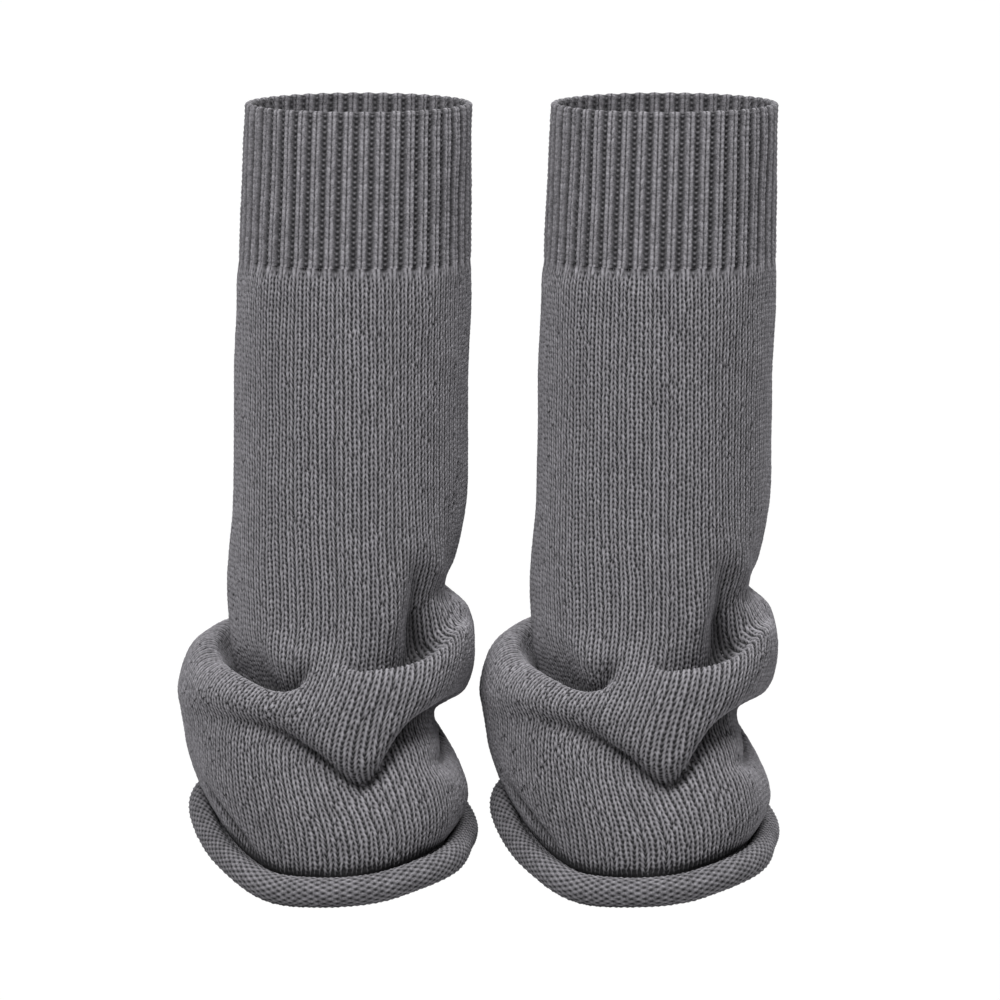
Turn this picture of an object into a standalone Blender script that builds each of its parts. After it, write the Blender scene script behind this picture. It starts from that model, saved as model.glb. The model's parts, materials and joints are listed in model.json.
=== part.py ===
"""A pair of knitted leg warmers, filled out as when worn and held up by the calves.

Each leg warmer is one knitted tube in four runs: a 1x1 ribbed cuff, a plain leg that hangs
straight, the same leg as it slouches in two big folds, and a hem that curls outwards into a roll.
The runs are walls of cloth, open at both ends. The frame is in metres, +Z up, and its origin lies midway
between the two cuffs, at half their height. Dimensions below are in millimetres.
"""

import bmesh
import bpy
import numpy as np

MM = 0.001

# The pair.
UNIT_SPACING = 157.6  # from one tube's axis to the other's
SEAM_GAP = 0.3  # between two runs of the tube

# The cloth.
WALL = 2.5  # plain stockinette
RIB_COUNT = 44
RIB_RELIEF = 1.6  # from the valley between two ribs to a rib's crest
CUFF_INSIDE = 3.9  # from a rib's crest to the cuff's plain inside
RIM_ROUNDING = 0.9

# The rolled hem.
ROLL_RADIUS = 7.9
ROLL_TURNS = 1.12
ROLL_DROP = 5.5  # from the seam down to the roll's centre
ROLL_LAYER_GAP = 0.7  # between the hem's first layer and the layer that it curls back to
ROLL_TIGHTENS_AT = 0.66  # of a turn
ROLL_STEPS = 9

# Rings of the straight part, which are ellipses, with heights above the hem's lowest point.
CUFF = (
    # ring, height, centre x, half width, half depth
    ("rim", 405.5, 4.2, 58.4, 51.5),
    ("cuff_foot", 325.7, 2.0, 59.8, 52.6),
)
TUBE = (
    # ring, height, centre x, half width, half depth, rows of mesh to the next ring
    ("leg_top", 325.5, 1.4, 60.3, 53.2, 1),
    ("shin", 267.0, 0.2, 60.4, 54.0, 1),
    ("ankle", 197.0, -1.5, 60.4, 55.3, 1),
)
SLOUCH_STARTS = 2  # the ring of the tube at which the straight leg ends

# Stations round the tube: degrees from its right-hand side (+X) towards its front (-Y), and the
# columns of mesh to the next station.
STATIONS = (
    ("right", 0, 4),
    ("dart_side", 30, 3),
    ("dart", 50, 3),
    ("tongue_side", 68, 2),
    ("tongue", 80, 5),
    ("bridge", 106, 2),
    ("pocket_end", 118, 4),
    ("pocket", 140, 5),
    ("left", 180, 6),
    ("left_back", 225, 5),
    ("back", 270, 5),
    ("right_back", 315, 6),
)

# Rings of the slouch, from the ankle down: how far the cloth's outer face is from the axis, a
# column for each station, and the rows of mesh to the next ring. The first fold rolls over at
# crest_1 with a pocket behind it at tuck_1, and the second bulges below the crease at tuck_2.
REACH = (
    # ring, rows,   right, d_side, dart, t_side, tongue, bridge, p_end, pocket, left, l_back, back, r_back
    ("brow", 1,      52.8, 55.0, 56.5, 56.5, 56.5, 57.5, 58.5, 61.0, 63.5, 60.0, 57.0, 53.0),
    ("pinch", 1,     45.5, 51.0, 51.0, 56.0, 57.0, 58.5, 60.5, 62.5, 64.5, 61.0, 57.0, 47.5),
    ("shoulder", 1,  52.0, 55.0, 46.0, 54.5, 57.0, 60.5, 63.0, 63.0, 63.0, 61.0, 57.0, 49.0),
    ("tuck_1", 1,    56.0, 57.0, 48.0, 52.0, 57.0, 62.0, 58.5, 55.0, 58.0, 58.0, 60.0, 53.0),
    ("lip_1", 1,     59.5, 60.5, 58.0, 59.0, 62.0, 63.3, 61.0, 65.0, 63.5, 64.0, 63.5, 58.5),
    ("crest_1", 1,   62.0, 65.5, 66.5, 66.5, 67.0, 65.0, 66.5, 71.0, 71.0, 70.0, 68.5, 63.5),
    ("crown_1", 2,   63.5, 68.0, 70.0, 71.0, 71.0, 68.0, 70.5, 78.5, 82.5, 80.5, 76.5, 69.0),
    ("belly_1", 2,   63.5, 68.5, 71.5, 72.5, 72.5, 71.5, 73.5, 84.0, 91.0, 86.0, 81.0, 71.0),
    ("under_1", 2,   58.0, 63.0, 68.0, 71.0, 71.5, 70.5, 72.0, 83.0, 90.0, 84.0, 77.0, 67.0),
    ("tuck_2", 2,    41.0, 49.0, 54.0, 57.0, 61.0, 62.5, 66.0, 79.0, 88.5, 70.0, 62.0, 45.0),
    ("crest_2", 2,   46.0, 50.0, 62.0, 64.0, 66.5, 68.5, 71.0, 81.0, 86.5, 76.0, 68.0, 49.5),
    ("belly_2", 2,   58.0, 64.5, 72.0, 72.5, 73.5, 75.5, 77.5, 81.5, 82.0, 79.0, 75.0, 60.5),
    ("skirt", 2,     58.5, 65.5, 72.5, 74.5, 76.0, 77.0, 77.5, 77.0, 79.0, 77.0, 73.0, 60.0),
    ("hem_neck", 0,  51.0, 56.5, 65.5, 72.0, 74.0, 75.0, 74.0, 72.0, 71.5, 70.0, 67.0, 52.0),
)
# The same rings' heights above the hem's lowest point.
HEIGHT = (
    # ring,         right, d_side, dart, t_side, tongue, bridge, p_end, pocket, left, l_back, back, r_back
    ("brow",         168.0, 171.0, 173.0, 173.0, 173.0, 173.0, 173.0, 173.0, 173.0, 175.0, 179.0, 175.0),
    ("pinch",        155.0, 152.0, 151.0, 149.0, 147.0, 147.0, 147.0, 145.0, 143.0, 152.0, 161.0, 161.0),
    ("shoulder",     149.0, 143.0, 136.0, 130.0, 129.0, 131.0, 118.5, 131.0, 119.0, 130.0, 141.0, 147.0),
    ("tuck_1",       146.0, 138.0, 120.0, 112.0, 114.0, 124.0, 107.0, 102.5, 100.0, 108.0, 121.0, 133.0),
    ("lip_1",        142.0, 135.5, 121.0, 117.0, 118.0, 119.5, 105.0, 102.0, 114.0, 121.0, 132.0, 138.0),
    ("crest_1",      136.0, 136.0, 126.0, 121.0, 120.0, 115.0, 108.5, 113.5, 125.0, 131.5, 143.0, 144.0),
    ("crown_1",      129.0, 131.0, 121.5, 114.0, 112.5, 109.0, 105.0, 110.5, 121.0, 126.5, 137.5, 137.0),
    ("belly_1",      113.0, 121.0, 112.0, 105.0, 97.5, 97.0, 98.0, 103.5, 99.5, 107.5, 121.0, 125.0),
    ("under_1",      98.0, 103.5, 101.0, 90.0, 72.0, 82.0, 90.0, 97.0, 88.0, 93.0, 104.0, 107.0),
    ("tuck_2",       86.0, 94.5, 93.5, 81.0, 61.0, 76.0, 84.5, 92.0, 78.0, 79.0, 90.0, 94.0),
    ("crest_2",      76.0, 80.0, 77.0, 72.0, 58.0, 70.5, 79.0, 86.0, 67.0, 71.0, 87.0, 81.0),
    ("belly_2",      52.0, 54.0, 53.0, 47.0, 45.0, 47.0, 52.0, 56.5, 56.0, 63.0, 75.0, 66.0),
    ("skirt",        41.0, 41.0, 35.0, 31.0, 29.0, 29.0, 31.0, 37.0, 50.0, 56.0, 66.0, 54.0),
    ("hem_neck",     31.5, 26.5, 22.5, 18.5, 15.0, 12.5, 12.8, 20.5, 42.5, 49.0, 56.0, 42.5),
)

# Smaller creases and ridges. Each runs between two places on the cloth, given as a bearing in
# degrees and as millimetres of cloth below the cuff. Depth is negative for a trough. A crease
# fades out at both ends, unless it runs out into a fold or into the hem.
CREASES = (
    # name, bearing, down, to bearing, to down, width, to width, depth, to depth, runs out
    ("dart_trough", 54, 139, 43, 197, 6, 11, -2.8, -4.5, True),
    ("dart_front_ridge", 61, 144, 68, 193, 7, 8, 1.6, 2.6, False),
    ("dart_side_ridge", 47, 143, 12, 198, 6, 8, 1.4, 1.8, True),
    ("pocket_ridge", 138, 182, 114, 210, 8, 7, 1.4, 2.2, True),
    ("left_skirt_trough", 166, 311, 124, 343, 5, 5, -3.0, -5.0, True),
    ("right_skirt_trough", 66, 294, 0, 288, 6, 6, -2.0, -5.0, True),
    ("back_dart_trough", 262, 138, 244, 193, 7, 12, -2.0, -3.5, True),
    ("back_dart_ridge", 268, 144, 278, 193, 9, 11, 1.2, 2.0, False),
    ("back_roll_trough", 314, 225, 232, 262, 8, 7, -3.0, -3.5, False),
    ("left_roll_trough", 194, 231, 148, 254, 8, 8, -2.0, -2.5, False),
    ("back_skirt_trough", 316, 294, 222, 315, 7, 8, -2.5, -3.0, False),
    ("back_hem_trough", 356, 304, 306, 329, 6, 7, -2.5, -2.5, False),
)
LEG_CLOTH = 340.0  # cloth from the cuff to the hem, measured down a column of stitches
MM_PER_DEGREE = 1.15  # round the slouch
CREASE_FADE = 0.35  # of a crease's length, at an end that fades out
CREASE_SHARPNESS = 1.8
LEVEL_NECK = 12.0  # of cloth above the hem, over which every crease levels out

STEPS_PER_RING = 16  # for measuring cloth down a column
BEARING_STEP = 0.5  # degrees, for a surface's slope
PLACE_STEP = 0.02  # of the way to the next ring, for a surface's slope

YARN_GREY = (0.135, 0.131, 0.142, 1.0)
YARN_ROUGHNESS = 0.95


def ease(value):
    """0 to 1 with level ends."""
    value = np.clip(value, 0.0, 1.0)
    return value * value * (3.0 - 2.0 * value)


def cubic(knots, values, places):
    """The smooth curve through values. A place counts knots: 2.5 is midway from the third knot on."""
    spans = np.diff(knots, axis=0)
    slopes = np.diff(values, axis=0) / spans
    inner = (slopes[:-1] * spans[1:] + slopes[1:] * spans[:-1]) / (spans[:-1] + spans[1:])
    slopes = np.concatenate([2 * slopes[:1] - inner[:1], inner, 2 * slopes[-1:] - inner[-1:]])
    low = np.clip(np.floor(places).astype(int), 0, len(spans) - 1)
    part = (places - low).reshape((-1,) + (1,) * (values.ndim - 1))
    span = spans[low]
    square, cube = part**2, part**3
    return (
        (2 * cube - 3 * square + 1) * values[low]
        + (cube - 2 * square + part) * span * slopes[low]
        + (3 * square - 2 * cube) * values[low + 1]
        + (cube - square) * span * slopes[low + 1]
    )


def ellipse_reach(bearings, centre_x, half_width, half_depth):
    """How far an ellipse centred on (centre_x, 0) is from the axis, at each bearing."""
    cosine, sine = np.cos(np.radians(bearings)), np.sin(np.radians(bearings))
    square = (cosine / half_width) ** 2 + (sine / half_depth) ** 2
    linear = -2 * centre_x * cosine / half_width**2
    constant = (centre_x / half_width) ** 2 - 1
    return (-linear + np.sqrt(linear**2 - 4 * square * constant)) / (2 * square)


def slouch_rings(bearings):
    """Reach and height of the slouch's rings at each bearing."""
    turns = np.array([bearing for _, bearing, _ in STATIONS], float)
    table = np.array([[row[2:] for row in REACH], [row[1:] for row in HEIGHT]]).transpose(2, 1, 0)
    turns = np.concatenate([turns[-2:] - 360, turns, turns[:3] + 360])
    table = np.concatenate([table[-2:], table, table[:3]])
    places = np.interp(np.asarray(bearings) % 360, turns, np.arange(len(turns)))
    return cubic(turns[:, None, None], table, places).transpose(1, 0, 2)


def leg_rings(bearings):
    """Reach and height of all the leg's rings at each bearing: (rings, bearings, 2)."""
    straight = [
        np.stack([ellipse_reach(bearings, *row[2:5]), np.full(len(bearings), row[1])], axis=-1)
        for row in TUBE
    ]
    return np.concatenate([straight, slouch_rings(bearings)])


def leg_profiles(bearings, places):
    """Reach and height down the leg at each bearing. A place counts rings from the leg's top."""
    rings = leg_rings(bearings)
    chords = np.sqrt(np.linalg.norm(np.diff(rings, axis=0), axis=-1))
    knots = np.concatenate([np.zeros((1, len(bearings))), np.cumsum(chords, axis=0)])
    return cubic(knots[..., None], rings, places)


def cloth_down(bearings, places):
    """Millimetres of cloth from the cuff down to each place: (places, bearings)."""
    last = len(TUBE) + len(REACH) - 1
    steps = np.linspace(0, last, last * STEPS_PER_RING + 1)
    lengths = np.linalg.norm(np.diff(leg_profiles(bearings, steps), axis=0), axis=-1)
    totals = np.concatenate([np.zeros((1, len(bearings))), np.cumsum(lengths, axis=0)])
    totals *= LEG_CLOTH / totals[-1]
    return np.stack([np.interp(places, steps, column) for column in totals.T], axis=-1)


def crease_depth(bearings, down):
    """How far the creases push the cloth out at each bearing and length of cloth."""
    depth = np.zeros(down.shape)
    for _, bearing, start, to_bearing, end, width, to_width, deep, to_deep, runs_out in CREASES:
        across = ((bearings - bearing + 180) % 360 - 180) * MM_PER_DEGREE
        along = down - start
        run_across = ((to_bearing - bearing + 180) % 360 - 180) * MM_PER_DEGREE
        run_along = end - start
        part = (across * run_across + along * run_along) / (run_across**2 + run_along**2)
        part = np.clip(part, 0.0, 1.0)
        distance = np.hypot(across - part * run_across, along - part * run_along)
        fade = ease(part / CREASE_FADE)
        if not runs_out:
            fade = fade * ease((1 - part) / CREASE_FADE)
        bell = np.exp(-CREASE_SHARPNESS * (distance / (width + (to_width - width) * part)) ** 2)
        depth += (deep + (to_deep - deep) * part) * fade * bell
    return depth * ease((LEG_CLOTH - down) / LEVEL_NECK)


def placed(profiles, bearings):
    """Points from (reach, height) profiles at the bearings."""
    angles = np.radians(bearings)
    reach, height = profiles[..., 0], profiles[..., 1]
    return np.stack([reach * np.cos(angles), -reach * np.sin(angles), height], axis=-1)


def outward(surface, bearings, places):
    """A surface's unit normals, away from the axis on the outer face of an upright wall."""
    last = len(TUBE) + len(REACH) - 1
    across = surface(bearings + BEARING_STEP, places) - surface(bearings - BEARING_STEP, places)
    lower, upper = np.minimum(places + PLACE_STEP, last), np.maximum(places - PLACE_STEP, 0)
    normals = np.cross(across, surface(bearings, lower) - surface(bearings, upper))
    return normals / np.linalg.norm(normals, axis=-1, keepdims=True)


def smooth_leg(bearings, places):
    """The leg's outer face without its creases: (places, bearings, 3)."""
    return placed(leg_profiles(bearings, places), bearings)


def creased_leg(bearings, places):
    """The leg's outer face."""
    depth = crease_depth(bearings, cloth_down(bearings, places))
    return smooth_leg(bearings, places) + depth[..., None] * outward(smooth_leg, bearings, places)


def column_bearings():
    """The bearing of each column of mesh, closer together where the folds are sharp."""
    bearings = []
    for index, (_, bearing, columns) in enumerate(STATIONS):
        following = STATIONS[index + 1][1] if index + 1 < len(STATIONS) else 360
        bearings.extend(np.linspace(bearing, following, columns, endpoint=False))
    return np.array(bearings)


def row_places(first=0, last=len(TUBE) + len(REACH) - 1):
    """The place of each row of mesh from one ring to another, counted in rings."""
    rows = [row[-1] for row in TUBE] + [row[1] for row in REACH]
    places = []
    for ring in range(first, last):
        places.extend(np.linspace(ring, ring + 1, rows[ring], endpoint=False))
    return np.array([*places, float(last)])


def neck_frame(neck):
    """Unit vectors out from the tube and down, square to the hem's neck at each of its points."""
    around = np.roll(neck, -1, axis=0) - np.roll(neck, 1, axis=0)
    around /= np.linalg.norm(around, axis=-1, keepdims=True)
    down = np.array([0.0, 0.0, -1.0]) + around[:, 2:3] * around
    down /= np.linalg.norm(down, axis=-1, keepdims=True)
    return np.cross(around, down), down


def leg_faces(places):
    """The outer and the inner face of a stretch of the leg, with its first row cut level."""
    bearings = column_bearings()
    outer = creased_leg(bearings, places)
    inner = outer - WALL * outward(creased_leg, bearings, places)
    inner[0, :, 2] = outer[0, :, 2]
    return outer, inner


def straight_wall():
    """Rows of points round the straight leg's wall: the outer face downwards, then the inner upwards."""
    outer, inner = leg_faces(row_places(last=SLOUCH_STARTS))
    inner[-1, :, 2] = outer[-1, :, 2]
    return np.concatenate([outer, inner[::-1]])


def slouch_wall():
    """The same round the slouch, which starts a seam's gap below and ends square to the hem's neck."""
    outer, inner = leg_faces(row_places(SLOUCH_STARTS))
    for face in (outer, inner):
        face[0, :, 2] -= SEAM_GAP
    out, _ = neck_frame(outer[-1])
    inner[-1] = outer[-1] - WALL * out
    return np.concatenate([outer, inner[::-1]])


def roll_section():
    """The curled hem's section, as (out, down) from the leg's lower edge, both faces of each step."""
    turns = np.linspace(0, ROLL_TURNS, ROLL_STEPS + 1)
    tight = ROLL_RADIUS - WALL - ROLL_LAYER_GAP
    closing = ease((turns - ROLL_TIGHTENS_AT) / (1 - ROLL_TIGHTENS_AT))
    radius = ROLL_RADIUS + (tight - ROLL_RADIUS) * closing
    spoke = np.stack([-np.cos(2 * np.pi * turns), np.sin(2 * np.pi * turns)], axis=-1)
    centre = np.array([ROLL_RADIUS - WALL, ROLL_DROP])
    purl = np.concatenate([[[-WALL, SEAM_GAP]], centre + radius[:, None] * spoke])
    knit = np.concatenate([[[0.0, SEAM_GAP]], centre + (radius[:, None] - WALL) * spoke])
    return purl, knit


def hem_wall():
    """Rows of points round the rolled hem's wall: one face out to the curled edge, then the other back."""
    bearings = column_bearings()
    neck = creased_leg(bearings, row_places()[-1:])[0]
    out, down = neck_frame(neck)
    purl, knit = roll_section()
    section = np.concatenate([purl, knit[::-1]])
    return neck + section[:, :1, None] * out + section[:, 1:, None] * down


def cuff_wall():
    """Rows of points round the cuff's wall: ribs on the outer face, a plain inside, a rounded rim."""
    rib_crest = np.array([0.0, 0.82, 1.0, 0.82])  # of the relief, over one rib from valley to valley
    crest = np.tile(rib_crest, RIB_COUNT)
    parameters = 2 * np.pi * np.arange(len(crest)) / len(crest)

    def ring(ellipse, height, depth):
        _, _, centre_x, half_width, half_depth = ellipse
        x = centre_x + (half_width - depth) * np.cos(parameters)
        y = -(half_depth - depth) * np.sin(parameters)
        return np.stack([x, y, np.full(len(crest), height)], axis=-1)

    rim, foot = CUFF
    valley = RIB_RELIEF * (1 - crest)
    foot_height = TUBE[0][1] + SEAM_GAP
    return np.stack([
        ring(rim, rim[1], valley + RIM_ROUNDING),
        ring(rim, rim[1] - RIM_ROUNDING, valley),
        ring(foot, foot_height, valley),
        ring(foot, foot_height, CUFF_INSIDE),
        ring(rim, rim[1], CUFF_INSIDE),
    ])


def wall_mesh(name, rows, material):
    """A closed wall: each row is a ring of points, and the last row joins the first."""
    model = bmesh.new()
    rings = [[model.verts.new(point * MM) for point in row] for row in rows]
    for upper, lower in zip(rings, rings[1:] + rings[:1]):
        for column in range(len(upper)):
            after = (column + 1) % len(upper)
            model.faces.new((upper[column], upper[after], lower[after], lower[column]))
    bmesh.ops.recalc_face_normals(model, faces=model.faces)
    mesh = bpy.data.meshes.new(name)
    model.to_mesh(mesh)
    model.free()
    mesh.materials.append(material)
    mesh.shade_smooth()
    return mesh


def yarn(name):
    """Matt mid-grey wool yarn."""
    material = bpy.data.materials.new(name)
    material.use_nodes = True
    shader = material.node_tree.nodes["Principled BSDF"]
    shader.inputs["Base Color"].default_value = YARN_GREY
    shader.inputs["Roughness"].default_value = YARN_ROUGHNESS
    shader.inputs["Metallic"].default_value = 0.0
    return material


def main():
    for old in list(bpy.data.objects):
        bpy.data.objects.remove(old)
    runs = {
        "rib_cuff": cuff_wall(),
        "straight_leg": straight_wall(),
        "slouch_leg": slouch_wall(),
        "rolled_hem": hem_wall(),
    }
    hold_height = (CUFF[0][1] + CUFF[1][1]) / 2
    for side, direction in (("left", -1), ("right", 1)):
        unit = bpy.data.objects.new(side + "_leg_warmer", None)
        unit.location = (direction * UNIT_SPACING / 2 * MM, 0.0, -hold_height * MM)
        bpy.context.scene.collection.objects.link(unit)
        for run, rows in runs.items():
            name = f"{side}_{run}"
            piece = bpy.data.objects.new(name, wall_mesh(name, rows, yarn(name + "_yarn")))
            piece.parent = unit
            bpy.context.scene.collection.objects.link(piece)


main()
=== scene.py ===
"""A pair of knitted leg warmers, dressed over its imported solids.

The cloth keeps the solids' shape: the tables and functions of the first half are those that the
solids were made from. The second half lays the knitting on it, stitch by stitch: stockinette on
the leg, 1x1 rib on the cuff, and the purl side of the cloth on the curled hem. Shapes are worked
out in millimetres, with heights above the hem's lowest point, and placed in metres, +Z up.
"""

import json

import bpy
import numpy as np
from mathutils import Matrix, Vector

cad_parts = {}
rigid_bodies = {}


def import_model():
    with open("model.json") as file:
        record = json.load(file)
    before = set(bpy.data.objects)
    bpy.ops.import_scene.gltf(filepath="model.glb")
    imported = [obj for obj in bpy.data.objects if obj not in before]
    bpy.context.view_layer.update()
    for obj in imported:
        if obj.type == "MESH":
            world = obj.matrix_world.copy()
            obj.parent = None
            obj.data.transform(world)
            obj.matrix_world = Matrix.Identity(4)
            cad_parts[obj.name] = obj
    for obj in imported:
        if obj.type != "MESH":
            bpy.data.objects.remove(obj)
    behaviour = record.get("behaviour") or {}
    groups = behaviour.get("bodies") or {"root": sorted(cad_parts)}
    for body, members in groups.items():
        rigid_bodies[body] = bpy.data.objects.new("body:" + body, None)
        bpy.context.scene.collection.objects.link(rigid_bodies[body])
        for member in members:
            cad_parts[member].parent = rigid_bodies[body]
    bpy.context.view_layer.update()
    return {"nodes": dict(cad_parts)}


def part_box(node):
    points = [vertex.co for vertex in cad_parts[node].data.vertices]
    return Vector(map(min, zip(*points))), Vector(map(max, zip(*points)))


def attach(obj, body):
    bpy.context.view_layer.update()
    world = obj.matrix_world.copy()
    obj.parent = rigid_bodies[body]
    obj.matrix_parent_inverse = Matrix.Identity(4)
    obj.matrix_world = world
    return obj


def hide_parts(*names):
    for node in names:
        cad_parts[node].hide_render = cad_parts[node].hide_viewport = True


MM = 0.001

# The pair.
UNIT_SPACING = 157.6  # from one tube's axis to the other's
SEAM_GAP = 0.3  # between two runs of the tube

# The cloth.
WALL = 2.5  # plain stockinette
RIB_COUNT = 44
CUFF_INSIDE = 3.9  # from a rib's crest to the cuff's plain inside

# The rolled hem.
ROLL_RADIUS = 7.9
ROLL_TURNS = 1.12
ROLL_DROP = 5.5  # from the seam down to the roll's centre
ROLL_LAYER_GAP = 0.7  # between the hem's first layer and its next
ROLL_TIGHTENS_AT = 0.66  # of a turn
ROLL_STEPS = 400  # of the spiral that the roll's cloth is measured along

# Rings of the straight part, which are ellipses, with heights above the hem's lowest point.
CUFF = (
    # ring, height, centre x, half width, half depth
    ("rim", 405.5, 4.2, 58.4, 51.5),
    ("cuff_foot", 325.7, 2.0, 59.8, 52.6),
)
TUBE = (
    ("leg_top", 325.5, 1.4, 60.3, 53.2),
    ("shin", 267.0, 0.2, 60.4, 54.0),
    ("ankle", 197.0, -1.5, 60.4, 55.3),
)

# Stations round the tube: degrees from its right-hand side (+X) towards its front (-Y).
STATIONS = (
    ("right", 0),
    ("dart_side", 30),
    ("dart", 50),
    ("tongue_side", 68),
    ("tongue", 80),
    ("bridge", 106),
    ("pocket_end", 118),
    ("pocket", 140),
    ("left", 180),
    ("left_back", 225),
    ("back", 270),
    ("right_back", 315),
)

# Rings of the slouch, from the ankle down: how far the cloth's outer face is from the axis, a
# column for each station. The first fold rolls over at crest_1 with a pocket behind it at tuck_1,
# and the second bulges below the crease at tuck_2.
REACH = (
    # ring, and its reach at each station
    ("brow",     52.8,   55, 56.5, 56.5, 56.5, 57.5, 58.5,   61, 63.5,   60,   57,   53),
    ("pinch",    45.5,   51,   51,   56,   57, 58.5, 60.5, 62.5, 64.5,   61,   57, 47.5),
    ("shoulder",   52,   55,   46, 54.5,   57, 60.5,   63,   63,   63,   61,   57,   49),
    ("tuck_1",     56,   57,   48,   52,   57,   62, 58.5,   55,   58,   58,   60,   53),
    ("lip_1",    59.5, 60.5,   58,   59,   62, 63.3,   61,   65, 63.5,   64, 63.5, 58.5),
    ("crest_1",    62, 65.5, 66.5, 66.5,   67,   65, 66.5,   71,   71,   70, 68.5, 63.5),
    ("crown_1",  63.5,   68,   70,   71,   71,   68, 70.5, 78.5, 82.5, 80.5, 76.5,   69),
    ("belly_1",  63.5, 68.5, 71.5, 72.5, 72.5, 71.5, 73.5,   84,   91,   86,   81,   71),
    ("under_1",    58,   63,   68,   71, 71.5, 70.5,   72,   83,   90,   84,   77,   67),
    ("tuck_2",     41,   49,   54,   57,   61, 62.5,   66,   79, 88.5,   70,   62,   45),
    ("crest_2",    46,   50,   62,   64, 66.5, 68.5,   71,   81, 86.5,   76,   68, 49.5),
    ("belly_2",    58, 64.5,   72, 72.5, 73.5, 75.5, 77.5, 81.5,   82,   79,   75, 60.5),
    ("skirt",    58.5, 65.5, 72.5, 74.5,   76,   77, 77.5,   77,   79,   77,   73,   60),
    ("hem_neck",   51, 56.5, 65.5,   72,   74,   75,   74,   72, 71.5,   70,   67,   52),
)
# The same rings' heights above the hem's lowest point.
HEIGHT = (
    # ring, and its height at each station
    ("brow",      168,   171,   173,  173,   173,   173,   173,   173,  173,   175,   179,  175),
    ("pinch",     155,   152,   151,  149,   147,   147,   147,   145,  143,   152,   161,  161),
    ("shoulder",  149,   143,   136,  130,   129,   131, 118.5,   131,  119,   130,   141,  147),
    ("tuck_1",    146,   138,   120,  112,   114,   124,   107, 102.5,  100,   108,   121,  133),
    ("lip_1",     142, 135.5,   121,  117,   118, 119.5,   105,   102,  114,   121,   132,  138),
    ("crest_1",   136,   136,   126,  121,   120,   115, 108.5, 113.5,  125, 131.5,   143,  144),
    ("crown_1",   129,   131, 121.5,  114, 112.5,   109,   105, 110.5,  121, 126.5, 137.5,  137),
    ("belly_1",   113,   121,   112,  105,  97.5,    97,    98, 103.5, 99.5, 107.5,   121,  125),
    ("under_1",    98, 103.5,   101,   90,    72,    82,    90,    97,   88,    93,   104,  107),
    ("tuck_2",     86,  94.5,  93.5,   81,    61,    76,  84.5,    92,   78,    79,    90,   94),
    ("crest_2",    76,    80,    77,   72,    58,  70.5,    79,    86,   67,    71,    87,   81),
    ("belly_2",    52,    54,    53,   47,    45,    47,    52,  56.5,   56,    63,    75,   66),
    ("skirt",      41,    41,    35,   31,    29,    29,    31,    37,   50,    56,    66,   54),
    ("hem_neck", 31.5,  26.5,  22.5, 18.5,    15,  12.5,  12.8,  20.5, 42.5,    49,    56, 42.5),
)
LAST_RING = len(TUBE) + len(REACH) - 1  # counted down the leg from its top

# Smaller creases and ridges. Each runs between two places on the cloth, given as a bearing and as
# millimetres of cloth below the cuff. Depth is negative for a trough. A crease fades out at both
# ends, unless it runs out into a fold or into the hem.
CREASES = (
    # name, bearing, down, to bearing, to down, width, to width, depth, to depth, runs out
    ("dart_trough", 54, 139, 43, 197, 6, 11, -2.8, -4.5, True),
    ("dart_front_ridge", 61, 144, 68, 193, 7, 8, 1.6, 2.6, False),
    ("dart_side_ridge", 47, 143, 12, 198, 6, 8, 1.4, 1.8, True),
    ("pocket_ridge", 138, 182, 114, 210, 8, 7, 1.4, 2.2, True),
    ("left_skirt_trough", 166, 311, 124, 343, 5, 5, -3.0, -5.0, True),
    ("right_skirt_trough", 66, 294, 0, 288, 6, 6, -2.0, -5.0, True),
    ("back_dart_trough", 262, 138, 244, 193, 7, 12, -2.0, -3.5, True),
    ("back_dart_ridge", 268, 144, 278, 193, 9, 11, 1.2, 2.0, False),
    ("back_roll_trough", 314, 225, 232, 262, 8, 7, -3.0, -3.5, False),
    ("left_roll_trough", 194, 231, 148, 254, 8, 8, -2.0, -2.5, False),
    ("back_skirt_trough", 316, 294, 222, 315, 7, 8, -2.5, -3.0, False),
    ("back_hem_trough", 356, 304, 306, 329, 6, 7, -2.5, -2.5, False),
)
LEG_CLOTH = 340.0  # cloth from the cuff to the hem, measured down a column of stitches
MM_PER_DEGREE = 1.15  # round the slouch
CREASE_FADE = 0.35  # of a crease's length, at an end that fades out
CREASE_SHARPNESS = 1.8
LEVEL_NECK = 12.0  # of cloth above the hem, over which every crease levels out

STEPS_PER_RING = 16  # for measuring cloth down a column
BEARING_STEP = 0.5  # degrees, for a surface's slope
PLACE_STEP = 0.02  # of the way to the next ring, for a surface's slope


def ease(value):
    """0 to 1 with level ends."""
    value = np.clip(value, 0.0, 1.0)
    return value * value * (3.0 - 2.0 * value)


def cubic(knots, values, places):
    """The smooth curve through values. A place counts knots: 2.5 is midway past the third one."""
    spans = np.diff(knots, axis=0)
    slopes = np.diff(values, axis=0) / spans
    inner = (slopes[:-1] * spans[1:] + slopes[1:] * spans[:-1]) / (spans[:-1] + spans[1:])
    slopes = np.concatenate([2 * slopes[:1] - inner[:1], inner, 2 * slopes[-1:] - inner[-1:]])
    low = np.clip(np.floor(places).astype(int), 0, len(spans) - 1)
    part = (places - low).reshape((-1,) + (1,) * (values.ndim - 1))
    span = spans[low]
    square, cube = part**2, part**3
    return (
        (2 * cube - 3 * square + 1) * values[low]
        + (cube - 2 * square + part) * span * slopes[low]
        + (3 * square - 2 * cube) * values[low + 1]
        + (cube - square) * span * slopes[low + 1]
    )


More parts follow.
